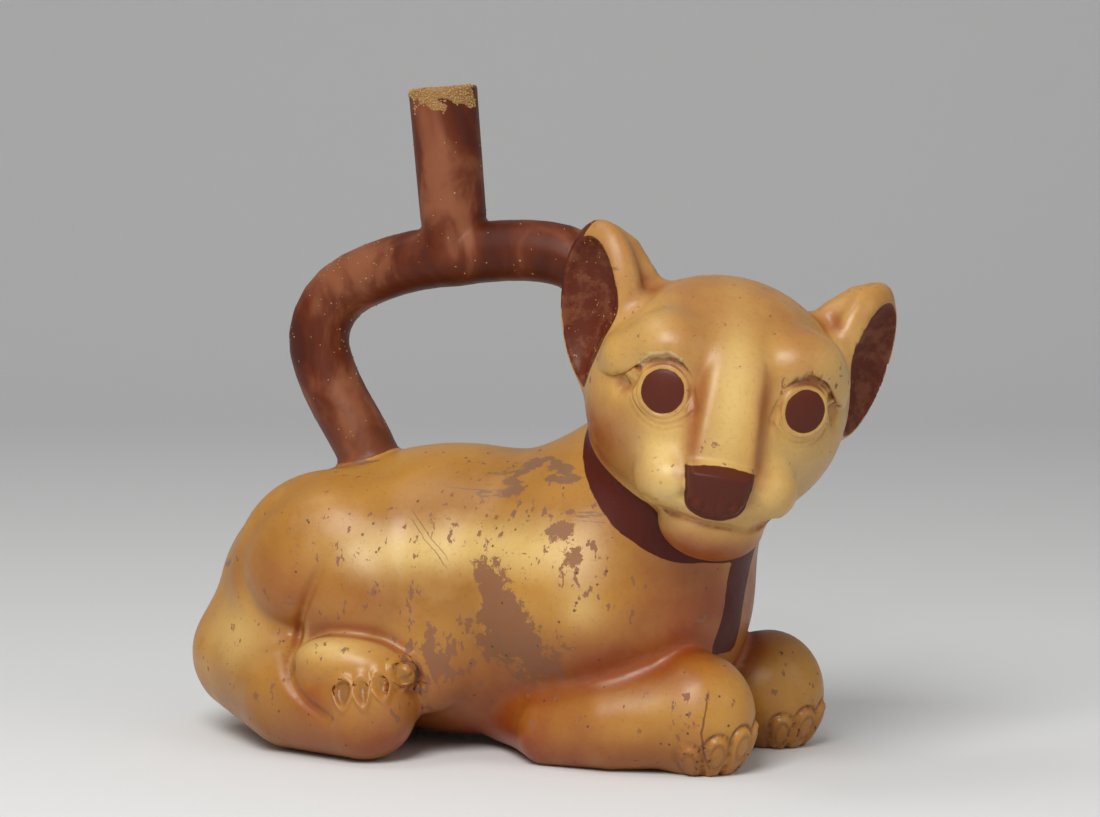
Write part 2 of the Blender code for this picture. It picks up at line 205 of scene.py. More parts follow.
NEAR_TOES = [(-84, 11.5), (-50, 14.5), (-18, 17.0), (14, 18.0)]
FAR_TOES = [(58, 13.0), (26, 15.0), (-6, 16.5), (-38, 17.0)]
TOE_RING, TOE_HALF = 17.0, 4.7


def toe_marks(q, places):
    """Distances inside the nearest toe and inside the claw on it, on the front of a forepaw."""
    x, y, z = (q - (PAW[0][0], PAW[0][1], 0)).T
    bearing = np.degrees(np.arctan2(y, x))
    toe = np.full(len(q), -9.0)
    claw = np.full(len(q), -9.0)
    for middle, top in places:
        across = math.radians(1) * TOE_RING * ((bearing - middle + 180) % 360 - 180)
        toe = np.maximum(toe, TOE_HALF - np.hypot(across, np.maximum(z - top + TOE_HALF, 0)))
        claw = np.maximum(claw, 2.4 - np.hypot(across, (z - top + 7.5) * 0.62))
    front = np.hypot(x, y)
    return np.where(front > 8, toe, -9), np.where(front > 8, claw, -9)


def toes(q, f, places):
    """Four toes in low relief on a forepaw, each under an incised arc and with a flat claw at its foot."""
    toe, claw = toe_marks(q, places)
    return f + 0.8 * ridge(toe, 0.55) - 1.3 * ramp(toe, 0.1, 2.6) + 0.35 * ridge(claw, 0.5)


# Head, in its own millimetres: x out of the face, y to the picture's right and z up
HEAD_CENTRE = np.array([68.0, -16.5, 121.0])
HEAD_AXES = turn(-64, 3, -8.5)
MUZZLE_MID = -3.4
NOSE_MID = -4.4
SKULL = (0, -2.5, 0), (42.5, 43, 41)
BRIDGE_CAP = (0, -2.5, -12), (54, 44, 47)
CHEEKS = (21, MUZZLE_MID, -14), (26.5, 24, 18)
WHISKER_PAD_APART, WHISKER_PAD_RADII = 14.5, (13.5, 12, 10.5)
UPPER_LIP = (39, MUZZLE_MID, -27), (12.5, 15, 7)
CHIN = (29.5, MUZZLE_MID + 1.5, -36), (17.5, 17, 12)
EYE_MID = -1.7
EYE_OUT, EYE_UP, EYE_APART = 36.0, 4.8, 22.8
EYE_TURN = 20
PUPIL_RADIUS = 7.1
LOWER_LID = smooth_path([(12.5, 1.8), (11.2, -2.8), (7.7, -7.2), (3, -9.9), (-2.1, -10.4), (-8.6, -7.4),
                         (-13.8, -1.9)], 3)
LID_FOLD = smooth_path([(12.6, -3.4), (8.8, -8.8), (3.4, -11.6), (-2.4, -12.1), (-8.2, -9.8)], 3)
LID_ALONG = [-16, -12.6, -9.5, -5, -0.5, 5.5, 10, 14, 19]
LID_HEIGHT = [-6, -1.6, 4.4, 9.8, 11.6, 9.8, 6.0, 2.6, 0.4]


def head_place(p):
    """Points in the head's own millimetres."""
    return (p - HEAD_CENTRE) @ HEAD_AXES


def muzzle(q):
    """Cheeks, jaw, lip and whisker pads."""
    f = smin(ball(q, *SKULL), ball(q, *CHEEKS), 10)
    for side in (-1, 1):
        f = smin(f, ball(q, (36, MUZZLE_MID + side * WHISKER_PAD_APART, -22), WHISKER_PAD_RADII), 4)
    return smin(smin(f, ball(q, *UPPER_LIP), 3), ball(q, *CHIN), 5.5)


def bridge(q):
    """Flat-topped bar from the forehead down to the nose."""
    x, y, z = q.T
    half = 8.2 + (17 - z) * 0.06
    centre = MUZZLE_MID + 0.8 - (17 - z) * 0.03
    top = smax((x - 41.5) * 0.964 + (z - 20) * 0.265, ball(q, *BRIDGE_CAP), 6)
    f = smax(top, (np.abs(y - centre) - half) * 0.85, 3)
    f = smax(f, 12 - x, 2)
    return smax(f, -z - 22, 3)


def eye_place(q, side):
    """Points in an eye's own millimetres: out of it, along it away from the nose, and up."""
    e = (q - (EYE_OUT, EYE_MID + side * EYE_APART, EYE_UP)) @ turn(side * EYE_TURN)
    return e * (1, side, 1)


def below_brow(along, up):
    """How far below the edge of its brow each point of an eye lies."""
    return (np.interp(along, LID_ALONG, LID_HEIGHT) - up) * 0.75


def eye_and_brow(q, f, side):
    """Round eye with a raised rim and lower lid, under a brow whose edge overhangs it."""
    e = eye_place(q, side)
    out, along, up = e.T
    radius = np.hypot(along, up)
    lid = below_brow(along, up)
    brow = ball(q, (25, EYE_MID + side * 20.5, 17.5), (14.2, 15.5, 12.5), turn(side * 36, 0, side * 4))
    brow = smin(brow, ball(q, (15.5, EYE_MID + (-32 if side < 0 else 29.5), 12), (13, 10, 9.5)), 6)
    chips = ridge(lid + 1.2, 1.3) * ramp(along, -6, -3) * (1 - ramp(along, 8, 12)) * (1 if side < 0 else 0.5)
    rough = np.sin(along * 2.1 + up * 1.3) * np.sin(up * 2.6 - along * 1.1)
    rough = rough + 0.5 * np.sin(along * 4.3 - up * 3.1)
    browed = smax(smin(f, brow, 4), lid + 0.2, 1.0) + chips * (0.15 + 0.2 * rough)
    dome = smax(ball(e, (-20, 0, 0), (21.8, 24, 24)), (radius - 11.8) * 0.9, 3.0)
    socket = -ball(e, (9.5, 0.5, 1.5), (10.5, 12, 11))
    f = smin(smax(f, socket, 3), dome, 1.0)
    corner = ramp(along, 7, 11) * (1 - ramp(along, 14, 19)) + 0.3 * ridge(along + 10.5, 2)
    f = f + 2.4 * corner * ramp(out, -15, -11) * ramp(lid, -0.5, 2.0) * (1 - ramp(lid, 2.5, 7))
    front = ramp(out, -9, -5)
    f = f + front * 0.2 * ridge(radius - PUPIL_RADIUS, 0.5) - front * 0.15 * ridge(radius - 8.1, 0.6)
    f = f + front * 0.3 * ridge(radius - 9.0, 0.5)
    clear = front * ramp(along, -14, -10.5)
    f = f + clear * 0.5 * ridge(stroke(along, up, LOWER_LID), 0.6)
    f = f + clear * 0.25 * ridge(stroke(along, up, LID_FOLD), 0.7)
    return np.minimum(f, browed)


def nose_block(q):
    """Block of the nose, with a sloping top and a flat front."""
    x, y, z = q[:, 0], q[:, 1] - NOSE_MID, q[:, 2]
    pad = (x - 54.5) * 0.5 + (z + 15.2) * 0.866 + 0.012 * y * y
    pad = smax(pad, (x - 56.6) * 0.94 - (z + 20) * 0.34 + 0.018 * y * y, 1.0)
    pad = smax(pad, -(z + 31.8) * 0.9 - (x - 55) * 0.25 + 0.035 * y * y, 2.5)
    pad = smax(pad, np.abs(y) - 10.4 - (z + 18) * 0.14, 2.2)
    return smax(pad, 42 - x, 1)


def nose(q, f):
    """Nose with two nostrils and a groove between them."""
    x, y, z = q[:, 0], q[:, 1] - NOSE_MID, q[:, 2]
    f = smin(f, nose_block(q), 0.6)
    front = ramp(x, 50, 54)
    for side in (-1, 1):
        hole = np.hypot(y - side * 6.2, (z + 27.4) * 1.1)
        f = f - front * 0.8 * ridge(hole, 1.6) + front * 0.8 * ridge(hole - 2.3, 0.6) * ramp(-z, 24.5, 27)
    return f + front * 0.35 * ridge(y, 0.5) * ramp(-z, 21, 23)


def mouth(q, f):
    """Closed mouth line between the lips."""
    x, y, z = q.T
    line = smooth_path([(-22, -28.5), (-15, -31.8), (-6, -33.4), (3, -33.8), (12, -34.6), (20, -30.5)], 3)
    drawn = stroke(y - MUZZLE_MID, z, line)
    return f + ramp(x, 18, 26) * 0.8 * ridge(drawn, 1.0)


EAR_TURN, EAR_SPREAD = 52, 9
EAR_ROOTS = {-1: ((-7, -43.5, 23.5), (9, 17.5, 29.5)), 1: ((-9, 42.5, 17.5), (9, 17.5, 27.5))}
EAR_CHIP = (-7, 54.2, 27), (7, 2.6, 4.5)
EAR_RIDGES = {-1: ([(-7, -23, 26), (-7, -31.5, 37), (-9, -37.5, 44.5), (-12, -43, 48)], [4, 4, 3.8, 3]),
              1: ([(-7, 24, 24), (-8, 32.5, 33), (-9, 39, 38.5), (-12, 47, 41)], [4, 4.5, 4, 2.5])}


def ear_shell(q, side):
    """An ear's outside and the cup in it, as two forms."""
    root, radii = EAR_ROOTS[side]
    e = (q - root) @ turn(0, 0, -side * EAR_SPREAD) @ turn(side * EAR_TURN)
    cup = ball(e, (8.5, side, -1), (11.5, radii[1] - 3.0, radii[2] - 3.2))
    return smin(ball(e, (0, 0, 0), radii), limb(q, *EAR_RIDGES[side]), 5), cup


def face(q):
    """Head without its eyes, nose, mouth and ears."""
    return smin(muzzle(q), bridge(q), 5)


def head_carving(p, f):
    """Eyes, nose, mouth and ears cut into the head, given the head's own form."""
    q = head_place(p)
    for side in (-1, 1):
        f = eye_and_brow(q, f, side)
    f = mouth(q, nose(q, f))
    for side in (-1, 1):
        outside, cup = ear_shell(q, side)
        f = smin(f, smax(outside, -cup, 1.4), 5)
    return smax(f, -ball(q, *EAR_CHIP), 0.6)


# Stirrup, from the rump up and over to the shoulders, and the spout on it
ARCH = [(-63, 0, 86), (-70, 0, 101), (-82, 0, 121), (-86.5, 0, 138), (-78, 0, 153), (-57, 0, 162.5),
        (-34, 0, 166.5), (-8, 0, 168.5), (10, 0, 165), (22, 0, 153), (27, 0, 136), (29, 0, 116), (31, 0, 86)]
ARCH_PATH = smooth_path(ARCH, 3)
SPOUT_WAY = np.array([-math.sin(SPOUT_LEAN), 0, math.cos(SPOUT_LEAN)])
SPOUT_FOOT = np.array([-34.4, 0, 166.5])
RIM = SPOUT_FOOT + SPOUT_WAY * (RIM_HEIGHT - SPOUT_FOOT[2]) / SPOUT_WAY[2]
OVERRUN = 14
TUBE_FROM = 70


def stirrup(p):
    """Stirrup with the spout, which runs on past the rim."""
    low = p[:, 2] < TUBE_FROM
    f = np.full(len(p), 60.0)
    q = p[~low]
    path = [SPOUT_FOOT, SPOUT_FOOT + SPOUT_WAY * 14, RIM, RIM + SPOUT_WAY * OVERRUN]
    tube = limb(q, ARCH_PATH, [TUBE_RADIUS] * len(ARCH_PATH))
    spout = limb(q, path, [TUBE_RADIUS, SPOUT_RADIUS - 0.4, SPOUT_RADIUS, SPOUT_RADIUS])
    f[~low] = smin(tube, spout, 2.5) + 0.3 * ridge(tube - spout, 0.9) * ramp(q[:, 2], 150, 155)
    return f


def pot(p, cut=True):
    """Whole outside of the pot. Uncut, its spout runs on past the rim."""
    f = trunk(p)
    f = within(p, f, (-52, -50, 40), 62, hind_carving)
    f = within(p, f, (70, -28, 12), 34, lambda s, g: toes(s, g, NEAR_TOES))
    f = within(p, f, (75, 28, 12), 34, lambda s, g: toes(other_side(s, FAR_PAW_AHEAD), g, FAR_TOES))
    skull = face(head_place(p))
    f = smin(f, within(p, skull, HEAD_CENTRE, 80, head_carving), 5)
    spout = stirrup(p)
    if cut:
        x, y, _ = p.T
        wavy = 0.15 * np.sin(x * 0.35 + 1) + 0.1 * np.sin(y * 0.6) + 0.1 * np.sin(x * 1.9 - y * 1.5)
        spout = smax(spout, (p - RIM) @ SPOUT_WAY + wavy + 0.2, 1.2)
    f = smin(f, spout, 2.5)
    return np.maximum(f, -p[:, 2])


def mesh_object(name, mesh):
    """New object in the scene with a mesh."""
    obj = bpy.data.objects.new(name, mesh)
    bpy.context.scene.collection.objects.link(obj)
    return obj


def bake(obj):
    """Replace an object's mesh by what its modifiers make of it."""
    graph = bpy.context.evaluated_depsgraph_get()
    graph.update()
    new = bpy.data.meshes.new_from_object(obj.evaluated_get(graph))
    old = obj.data
    obj.modifiers.clear()
    obj.data = new
    bpy.data.meshes.remove(old)
    return obj


def points_of(mesh):
    """Mesh's points as an array."""
    p = np.empty(len(mesh.vertices) * 3)
    mesh.vertices.foreach_get("co", p)
    return p.reshape(-1, 3)


def settle(obj, form, rounds, reach, chosen=None):
    """Move an object's points, or the chosen ones, onto a form along its slope, at most reach at a time."""
    every = points_of(obj.data)
    chosen = np.ones(len(every), bool) if chosen is None else chosen
    p = every[chosen]
    small = 0.05
    for _ in range(rounds):
        value = form(p)
        slope = np.stack([form(p + step) - value for step in np.eye(3) * small], 1) / small
        size = np.maximum(np.linalg.norm(slope, axis=1), 0.3)
        p = p - slope / size[:, None] * np.clip(value / size, -reach, reach)[:, None]
    every[chosen] = p
    obj.data.vertices.foreach_set("co", every.ravel())
    obj.data.update()
    return obj


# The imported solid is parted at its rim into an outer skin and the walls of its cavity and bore. The skin is
# remade with finer facets and settled on the form, and the inner walls are cut out of it again. What can be
# reached over edges from the foremost facet without crossing the rim is outside, and the rest is inside.
MILLI = 1000.0
RIM_GAP = 0.1
solid = bmesh.new()
solid.from_mesh(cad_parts["vessel"].data)
bmesh.ops.scale(solid, vec=(MILLI,) * 3, verts=solid.verts)
bmesh.ops.remove_doubles(solid, verts=solid.verts, dist=0.002)
solid.faces.ensure_lookup_table()


def at_rim(f):
    """Whether a facet lies flat on the spout's rim."""
    return all(abs(np.dot(np.array(v.co) - RIM, SPOUT_WAY)) < RIM_GAP for v in f.verts)


on_rim = np.array([at_rim(f) for f in solid.faces])
deep = ~on_rim
reached = [max(solid.faces, key=lambda f: f.calc_center_median().x)]
deep[reached[0].index] = False
while reached:
    for edge in reached.pop().edges:
        for f in edge.link_faces:
            if deep[f.index]:
                deep[f.index] = False
                reached.append(f)


def part_of_solid(name, drop, lift):
    """One part of the solid as a closed mesh, its edge at the rim lifted and filled."""
    bm = solid.copy()
    bm.faces.ensure_lookup_table()
    bmesh.ops.delete(bm, geom=[bm.faces[i] for i in np.flatnonzero(drop)], context="FACES")
    edge = [e for e in bm.edges if e.is_boundary]
    made = bmesh.ops.extrude_edge_only(bm, edges=edge)["geom"]
    lifted = [g for g in made if isinstance(g, bmesh.types.BMVert)]
    bmesh.ops.translate(bm, vec=Vector(SPOUT_WAY) * lift, verts=lifted)
    bmesh.ops.holes_fill(bm, edges=[e for e in bm.edges if e.is_boundary], sides=0)
    bmesh.ops.recalc_face_normals(bm, faces=bm.faces)
    mesh = bpy.data.meshes.new(name)
    bm.to_mesh(mesh)
    bm.free()
    return mesh_object(name, mesh)


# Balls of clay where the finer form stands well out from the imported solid: along the ears and by a hind foot
POCKET, POCKET_RADIUS = (-31, -40, 30), 6.5
FACET, QUICK_FACET = 2.05, 2.6
vessel = part_of_solid("vessel_body", deep | on_rim, 0.5)
inside = part_of_solid("inner_walls", ~deep | on_rim, 4.0)
solid.free()
bm = bmesh.new()
bm.from_mesh(vessel.data)
balls = [(POCKET, POCKET_RADIUS)]
for path, radii in EAR_RIDGES.values():
    beads = smooth_path(np.column_stack([path, radii]), 4)
    balls += [(HEAD_CENTRE + HEAD_AXES @ bead[:3], bead[3]) for bead in beads]
for centre, radius in balls:
    bmesh.ops.create_icosphere(bm, subdivisions=2, radius=radius, matrix=Matrix.Translation(Vector(centre)))
bm.to_mesh(vessel.data)
bm.free()
skin = vessel.modifiers.new("skin", "REMESH")
skin.mode = "VOXEL"
skin.voxel_size = FACET
bake(vessel)
settle(vessel, pot, rounds=6, reach=1.2)

# Places with finer and with the finest facets, as centres with a reach, besides the face and ears
FINE = [((74, -31, 12), 23), ((80, 28, 12), 22), ((-42, -60, 28), 25), ((-34, 0, 168), 18),
        ((-66, -50, 44), 26)]
FINEST_FEET = [((-39, -64, 27), 13), ((77, -36, 12), 14), ((84, 18, 12), 13)]
FINEST_NOSE = (50, NOSE_MID, -23), 15
FINEST_EYE = 14.5
RIM_REACH = 16


def wants_finer(p, level):
    """Whether each point of the outside lies where the clay's relief needs a level of finer facets."""
    q = head_place(p)
    if level == 0:
        found = (q[:, 0] > 4) & (np.linalg.norm(q - (22, -2, -6), axis=1) < 45)
        found |= (np.abs(q[:, 1]) > 36) & (q[:, 2] > -12) & (np.abs(q[:, 0]) < 26)
        for centre, reach in FINE:
            found |= np.linalg.norm(p - centre, axis=1) < reach
    else:
        found = np.linalg.norm((q - FINEST_NOSE[0]) * (0.7, 1, 1), axis=1) < FINEST_NOSE[1]
        for centre, reach in FINEST_FEET:
            found |= np.linalg.norm(p - centre, axis=1) < reach
        for side in (-1, 1):
            found |= np.linalg.norm(eye_place(q, side) * (0.7, 1, 1), axis=1) < FINEST_EYE
    found &= p[:, 2] > 0.5
    found[found] = pot(p[found]) > -2
    return found


def refine(obj, wanted):
    """Halve an object's facets where they are wanted finer, and settle their points on the form."""
    bm = bmesh.new()
    bm.from_mesh(obj.data)
    bm.faces.ensure_lookup_table()
    chosen = wanted(np.array([f.calc_center_median() for f in bm.faces]))
    edges = {e for i in np.flatnonzero(chosen) for e in bm.faces[i].edges}
    bmesh.ops.subdivide_edges(bm, edges=list(edges), cuts=1, use_grid_fill=True)
    bm.to_mesh(obj.data)
    bm.free()
    return settle(obj, pot, rounds=2, reach=0.5, chosen=wanted(points_of(obj.data)))


def near_rim(p):
    """Whether each point is by the spout's rim."""
    return np.linalg.norm(p - RIM, axis=1) < RIM_REACH


refine(vessel, near_rim)
cut = vessel.modifiers.new("cavity", "BOOLEAN")
cut.operation = "DIFFERENCE"
cut.solver = "EXACT"
cut.object = inside
bake(vessel)
bpy.data.objects.remove(inside)
for level in range(2):
    refine(vessel, lambda points: wants_finer(points, level))
vessel.modifiers.new("facets", "TRIANGULATE")
bake(vessel)


# Painted places, as a distance in millimetres that each point lies inside them
UNPAINTED = -20.0
LEASH_MID, LEASH_HALF, LEASH_END = -10.0, 6.6, 36.5


def painted(p):
    """Distance inside the red-brown slip: stirrup, collar and its hanging end, nose, pupils and ear cups."""
    bare = trunk(p)
    q = head_place(p)
    skull = face(q)
    body = smin(bare, skull, 5)
    inside_paint = {"stirrup_slip": np.where(p[:, 2] > TUBE_FROM, body - stirrup(p) - 0.4, UNPAINTED)}
    x, y, z = p.T
    width = 12.8 - 0.34 * np.abs(z - 80) + 3.5 * ramp(x, 64, 72)
    width = width + (10 - width) * ramp(y, -14, 4)
    collar = np.minimum(width - skull, (skull - bare) * 0.8 + 0.6)
    leash = LEASH_HALF + 0.6 * np.sin(p[:, 2] * 0.21) - np.abs(p[:, 1] - LEASH_MID - (p[:, 2] - 50) * 0.03)
    leash = np.minimum(leash, np.minimum(p[:, 2] - LEASH_END, 76 - p[:, 2]))
    leash = np.where(p[:, 0] > 50, leash, UNPAINTED)
    inside_paint["collar_slip"] = np.clip(np.maximum(collar, leash), UNPAINTED, -UNPAINTED)
    detail = np.full(len(p), UNPAINTED)
    for side in (-1, 1):
        out, along, up = eye_place(q, side).T
        pupil = PUPIL_RADIUS - np.hypot(along, up)
        detail = np.maximum(detail, np.where((out > -4) & (np.abs(out) < 12), pupil, UNPAINTED))
    y, z = q[:, 1] - NOSE_MID, q[:, 2]
    block = smax(np.abs(y) - 11.0 - (z + 18) * 0.14, -(z + 32.2) + 0.035 * y * y, 3)
    block = np.maximum(block, z + 14.2 + 0.012 * y * y)
    detail = np.maximum(detail, np.where(q[:, 0] > 43, -block, UNPAINTED))
    inside_paint["feature_slip"] = detail
    cups = np.full(len(p), UNPAINTED)
    for side in (-1, 1):
        outside, cup = ear_shell(q, side)
        there = (outside < 3) & (side * q[:, 1] > 20)
        cups = np.maximum(cups, np.where(there, -cup - outside + 0.3, UNPAINTED))
    inside_paint["ear_slip"] = cups
    return inside_paint


# Worn and tinted places, and places of painted shade and painted highlights, as centres with two radii
# and a strength: (x, z) on the body, (y, z) on the head
LOST_SLIP = [((1, 54), (9, 13), 1), ((9, 43), (11, 13), 1), ((-5, 40), (7, 8), 0.8), ((-4, 63), (5, 6), 0.7),
             ((17, 33), (6, 6), 0.7), ((20, 79), (7, 4.5), 0.9), ((27, 72), (5.5, 4), 0.8),
             ((23, 46), (3.5, 5), 0.5)]
FLAKES = [((-22, 34), (12, 12), 1.7), ((0, 80), (34, 16), 0.7), ((38, 62), (14, 16), 0.7),
          ((10, 22), (22, 10), 0.4), ((-50, 50), (26, 30), 0.45), ((-80, 30), (24, 18), 0.35),
          ((60, 22), (20, 10), 0.4)]
STREAKS = [((-8, 95), (26, 6), 1), ((18, 98), (10, 5), 0.8)]
# Painted shade in orange-brown, in part slip pooled in the hollows: round the thigh and shin, on the chest
# under the head, between foreleg and body, low along the flank and belly, and by the hind foot
SHADE_SPOTS = [((-76, 54), (16, 16), 0.75), ((-50, 52), (14, 12), 0.45), ((62, 55), (17, 24), 1.0),
          ((38, 36), (26, 12), 0.9), ((-5, 22), (40, 16), 0.8), ((-8, 4), (90, 11), 1.0),
          ((-104, 62), (14, 22), 0.3), ((-60, 22), (9, 7), 0.8)]
# Painted highlights in cream: a band along the upper flank, a spot on the chest, and strips on the haunch,
# hind foot and forearm
HIGHLIGHT_SPOTS = [((-98, 40), (16, 12), 0.8), ((-38, 69), (22, 8), 0.9), ((-5, 73), (24, 8), 0.9),
          ((22, 72), (16, 10), 0.6), ((32, 54), (7, 7), 0.7), ((-57, 39), (17, 5), 1.0),
          ((52, 26), (17, 6), 0.6), ((-30, 17), (12, 9), 0.3)]
HEAD_SHADE_SPOTS = [((-20, 22), (14, 9), 1), ((17, 24), (14, 9), 1)]
# Painted highlights in cream on the head: down the bridge, on the cheeks and whisker pads, and above the brows
HEAD_HIGHLIGHT_SPOTS = [((MUZZLE_MID, 10), (6, 26), 0.9), ((-22, -14), (14, 8), 0.9), ((-18, -26), (9, 8), 0.8),
               ((19, -12), (12, 8), 0.5), ((13, -26), (8, 8), 0.5), ((30, 28), (9, 12), 0.7),
               ((-30, 32), (7, 14), 0.7)]
BROW_WEAR = {-1: 1.0, 1: 0.55}


def spots(x, z, places):
    """Soft spots at places, strongest at their middles."""
    total = np.zeros(len(x))
    for (cx, cz), (rx, rz), strength in places:
        total += strength * np.exp(-(((x - cx) / rx) ** 2 + ((z - cz) / rz) ** 2))
    return total


def head_tints(q):
    """Shares of painted shade, in part pooled slip, and of painted highlights on the head."""
    ahead, across, up = q.T
    # Painted shade under the jaw, on the cheek at the picture's left and beside the bridge; orange-brown on
    # the crown
    jaw = 1.0 * ramp(-up, 33, 44) + 1.1 * ramp(-across, 23, 40) * ramp(-up, -8, 18)
    beside_nose = 0.8 * ridge(np.abs(across - MUZZLE_MID) - 10.5, 3.0) * ramp(20 - up, 0, 14)
    beside_nose = beside_nose * ramp(up, -24, -10)
    crown = 0.45 * ramp(up, 20, 36) + 0.4 * spots(across, up, HEAD_SHADE_SPOTS)
    return jaw + beside_nose + crown, spots(across, up, HEAD_HIGHLIGHT_SPOTS) * ramp(ahead, -20, 5)


def chipped_brows(q):
    """Share of bare clay along the brows' chipped edges."""
    chipped = np.zeros(len(q))
    for side, wear in BROW_WEAR.items():
        out, along, up = eye_place(q, side).T
        band = ridge(below_brow(along, up) + 0.7, 1.2) * ramp(along, -7, -4)
        band = band * (1 - ramp(along, 8, 12)) * ramp(out, -9, -5)
        chipped = np.maximum(chipped, wear * band)
    return chipped


def toe_shade_and_claws(p):
    """Share of painted shade in the incised arcs and round the claws of the forepaws' toes and low between
    them, and of darker brown inside the hind claws.
    """
    x, y, z = p.T
    dirt = np.zeros(len(p))
    for place, places in ((p, NEAR_TOES), (other_side(p, FAR_PAW_AHEAD), FAR_TOES)):
        toe, claw = toe_marks(place, places)
        on_paw = (np.linalg.norm(place - PAW[0], axis=1) < 26) & (toe > -2)
        line = 0.8 * ridge(toe + 0.1, 0.5) * ramp(z, 4, 12) + 0.4 * ridge(claw, 0.6)
        line = line + 0.5 * ramp(-toe, -0.2, 0.6) * ramp(12 - z, 0, 6)
        dirt = np.where(on_paw, np.maximum(dirt, line), dirt)
    nail = claws(x, z)
    return np.maximum(dirt, np.where((y < -48) & (nail > -2), 0.55 * ramp(nail, 0.6, 1.8), 0))


def wear_and_painted_light(p):
    """Shares of worn and tinted slip, of painted shade and of painted highlights at each point, by name."""
    x, y, z = p.T
    q = head_place(p)
    on_head = ramp(trunk(p) - face(q), -3, 3)
    on_body = 1 - on_head
    near = ramp(-y, 0, 15)
    head_shade, head_highlight = head_tints(q)
    return {"head": on_head,
            "lost_slip": near * on_body * spots(x, z, LOST_SLIP),
            "flaked": (0.25 + 0.75 * near) * (1 - 0.8 * on_head) * spots(x, z, FLAKES),
            "streaked": on_body * spots(x, z, STREAKS),
            "painted_shade": on_body * spots(x, z, SHADE_SPOTS) + on_head * head_shade,
            "painted_highlight": on_body * spots(x, z, HIGHLIGHT_SPOTS) + on_head * head_highlight,
            "chipped": chipped_brows(q),
            "lined": toe_shade_and_claws(p)}


def openness(p, normals, form):
    """How far the clay leaves each point open, from 0 in a deep crease to 1 on a bulge."""
    total = np.zeros(len(p))
    for gap in (3.5, 7.0, 13.0):
        total += np.clip(form(p + normals * gap) / gap, 0, 1)
    return total / 3


def store(mesh, name, values):
    """One number for each point of a mesh."""
    mesh.attributes.new(name, "FLOAT", "POINT").data.foreach_set("value", values.astype(np.float32))


def lumps(p, size, phase):
    """Smooth bumpy pattern from -1 to 1, about a size across in millimetres."""
    x, y, z = p.T / size
    return np.sin(x + 2.1 * np.sin(z * 0.7 + phase)) * np.sin(y * 1.3 + z + 1.7 * np.sin(x * 0.9 + phase))


mesh = vessel.data
p = points_of(mesh)
normals = np.array([v.normal for v in mesh.vertices])
outer = pot(p) > -1.0
inside_paint = painted(p)
for name, values in inside_paint.items():
    store(mesh, name, np.where(outer, values, UNPAINTED))
for name, values in wear_and_painted_light(p).items():
    store(mesh, name, np.where(outer, values, 0))
below_rim = -((p - RIM) @ SPOUT_WAY)
hang = 4.5 + 5.5 * lumps(p, 4.2, 2.0) + 2.0 * lumps(p, 1.3, 2.0)
deposit = np.where((below_rim < 15) & outer, ramp(hang - below_rim, -1.5, 1.5), 0)
store(mesh, "deposit", deposit)
# How open each point is, which sets the painted shade in hollows and creases
store(mesh, "open", np.where(outer, openness(p, normals, pot), 0.4))
store(mesh, "inner", (~outer).astype(float))
mesh.transform(Matrix.Scale(1 / MILLI, 4))
mesh.shade_smooth()


# Burnished slip: cream over ochre, worn and pitted on the flank, with painted shade in orange-brown in the
# hollows and low places, in part pooled slip, and painted highlights in cream
def srgb(r, g, b):
    """Colour for a shader from 0 to 255 values as seen on a screen."""
    parts = (c / 255 for c in (r, g, b))
    return (*(c / 12.92 if c < 0.04045 else ((c + 0.055) / 1.055) ** 2.4 for c in parts), 1)


slip = bpy.data.materials.new("burnished_slip")
slip.use_nodes = True
tree = slip.node_tree
surface = tree.nodes["Principled BSDF"]


def node(kind, outputs=0, inputs=(), **settings):
    """Shader node with its settings, and its inputs given as numbers, colours or other nodes' outputs."""
    made = tree.nodes.new("ShaderNode" + kind)
    for key, value in settings.items():
        setattr(made, key, value)
    for key, value in dict(inputs).items():
        if isinstance(value, bpy.types.NodeSocket):
            tree.links.new(value, made.inputs[key])
        else:
            made.inputs[key].default_value = value
    return made.outputs[outputs]


def maths(operation, a, b=0.0, clamp=False):
    """Sum, product or other operation on two values."""
    return node("Math", 0, {0: a, 1: b}, operation=operation, use_clamp=clamp)


def fade(value, low, high, start=0.0, end=1.0):
    """Value carried smoothly from one range to another, and held at its ends."""
    inputs = {0: value, 1: low, 2: high, 3: start, 4: end}
    return node("MapRange", 0, inputs, interpolation_type="SMOOTHSTEP")


def blend(share, a, b):
    """Colour between a and b."""
    return node("Mix", 2, {0: share, 6: a, 7: b}, data_type="RGBA")


place = node("TexCoord", 3)


def cloud(scale, detail=3.0, rough=0.55, stretch=(1, 1, 1), shift=0.0, warp=0.0):
    """Soft random pattern of a number of lumps to the metre."""
    inputs = {"Vector": place, "Location": (shift,) * 3, "Scale": stretch}
    where = node("Mapping", 0, inputs)
    inputs = {"Vector": where, "Scale": scale, "Detail": detail, "Roughness": rough, "Distortion": warp}
    return node("TexNoise", 0, inputs)


def told(name):
    """Number stored on the mesh."""
    return node("Attribute", 2, attribute_name=name)


